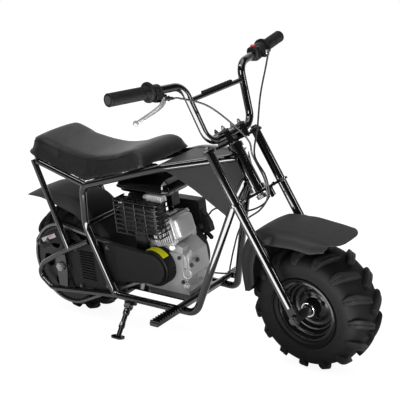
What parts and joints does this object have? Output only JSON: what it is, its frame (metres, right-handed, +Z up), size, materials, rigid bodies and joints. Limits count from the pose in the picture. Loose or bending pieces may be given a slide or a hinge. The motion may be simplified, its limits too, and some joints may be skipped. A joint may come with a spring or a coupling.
{
  "type": "mini dirt bike",
  "caption": "Small off-road motorcycle with a tube frame, open engine, knobbly tyres, folded mudguards and a bench seat.",
  "frame": {"origin": "centre of the bike's box at the ground, as it leans on its side stand", "axes": "+X towards the front wheel, -Y towards the side stand and the drive side, +Z up"},
  "size_m": [1.2494, 0.744, 0.8941],
  "materials": {
    "tube_black": "gloss black tube",
    "plastic_dark": "satin moulded plastic",
    "plastic_black": "black plastic",
    "seat_vinyl": "grained vinyl over foam",
    "tyre_rubber": "moulded tyre rubber",
    "rim_black": "satin black",
    "steel": "zinc plated steel",
    "engine_alloy": "cast alloy",
    "engine_black": "heat-proof black paint",
    "tank_gloss": "gloss black",
    "lever_alloy": "polished",
    "grip_rubber": "moulded rubber",
    "cable": "cable sheath"
  },
  "bodies": {
    "frame": {"head_tube": "tube_black", "side_loop_right": "tube_black", "side_loop_left": "tube_black", "rear_loop_right": "tube_black", "rear_loop_left": "tube_black", "seat_rail": "tube_black", "cross_members": "tube_black", "engine_plate": "tube_black", "neck_panels": "plastic_dark", "neck_cover": "plastic_black", "seat": "seat_vinyl", "seat_pan": "plastic_black", "rear_fender": "plastic_dark", "crankcase": "engine_alloy", "cylinder": "engine_black", "valve_cover": "engine_alloy", "engine_tank": "tank_gloss", "muffler": "engine_black", "muffler_guard": "engine_black", "recoil_starter": "engine_black", "air_filter": "plastic_black", "clutch_guard": "plastic_dark", "chain_guard": "plastic_dark", "drive_chain": "steel", "rear_axle": "steel", "brake_caliper": "engine_black", "footpegs": "tube_black", "stand_bracket": "tube_black", "frame_cables": "cable"},
    "steering": {"fork_legs": "tube_black", "triple_clamps": "tube_black", "steering_stem": "steel", "handlebar": "tube_black", "bar_clamps": "tube_black", "grips": "grip_rubber", "brake_lever": "lever_alloy", "throttle_housing": "plastic_black", "front_fender": "plastic_dark", "front_axle": "steel", "control_cables": "cable"},
    "front_wheel": {"front_tyre": "tyre_rubber", "front_rim": "rim_black"},
    "rear_wheel": {"rear_tyre": "tyre_rubber", "rear_rim": "rim_black", "sprocket": "steel", "brake_disc": "steel"},
    "side_stand": {"side_stand": "tube_black"}
  },
  "joints": [
    {"name": "steer", "type": "hinge", "parent": "frame", "child": "steering", "pos_m": [0.24967, 0.04628, 0.54257], "axis": [-0.4664, -0.1524, 0.8714], "range_deg": [-35, 35]},
    {"name": "front_spin", "type": "hinge", "parent": "steering", "child": "front_wheel", "pos_m": [0.44368, 0.10968, 0.18009], "axis": [0, 0.985, 0.1723], "continuous": true},
    {"name": "rear_spin", "type": "hinge", "parent": "frame", "child": "rear_wheel", "pos_m": [-0.42832, 0.10968, 0.18009], "axis": [0, 0.985, 0.1723], "continuous": true},
    {"name": "stand_swing", "type": "hinge", "parent": "frame", "child": "side_stand", "pos_m": [-0.16032, 0.01399, 0.07706], "axis": [-0.0749, 0.7402, -0.6681], "range_deg": [0, 83.3]}
  ]
}
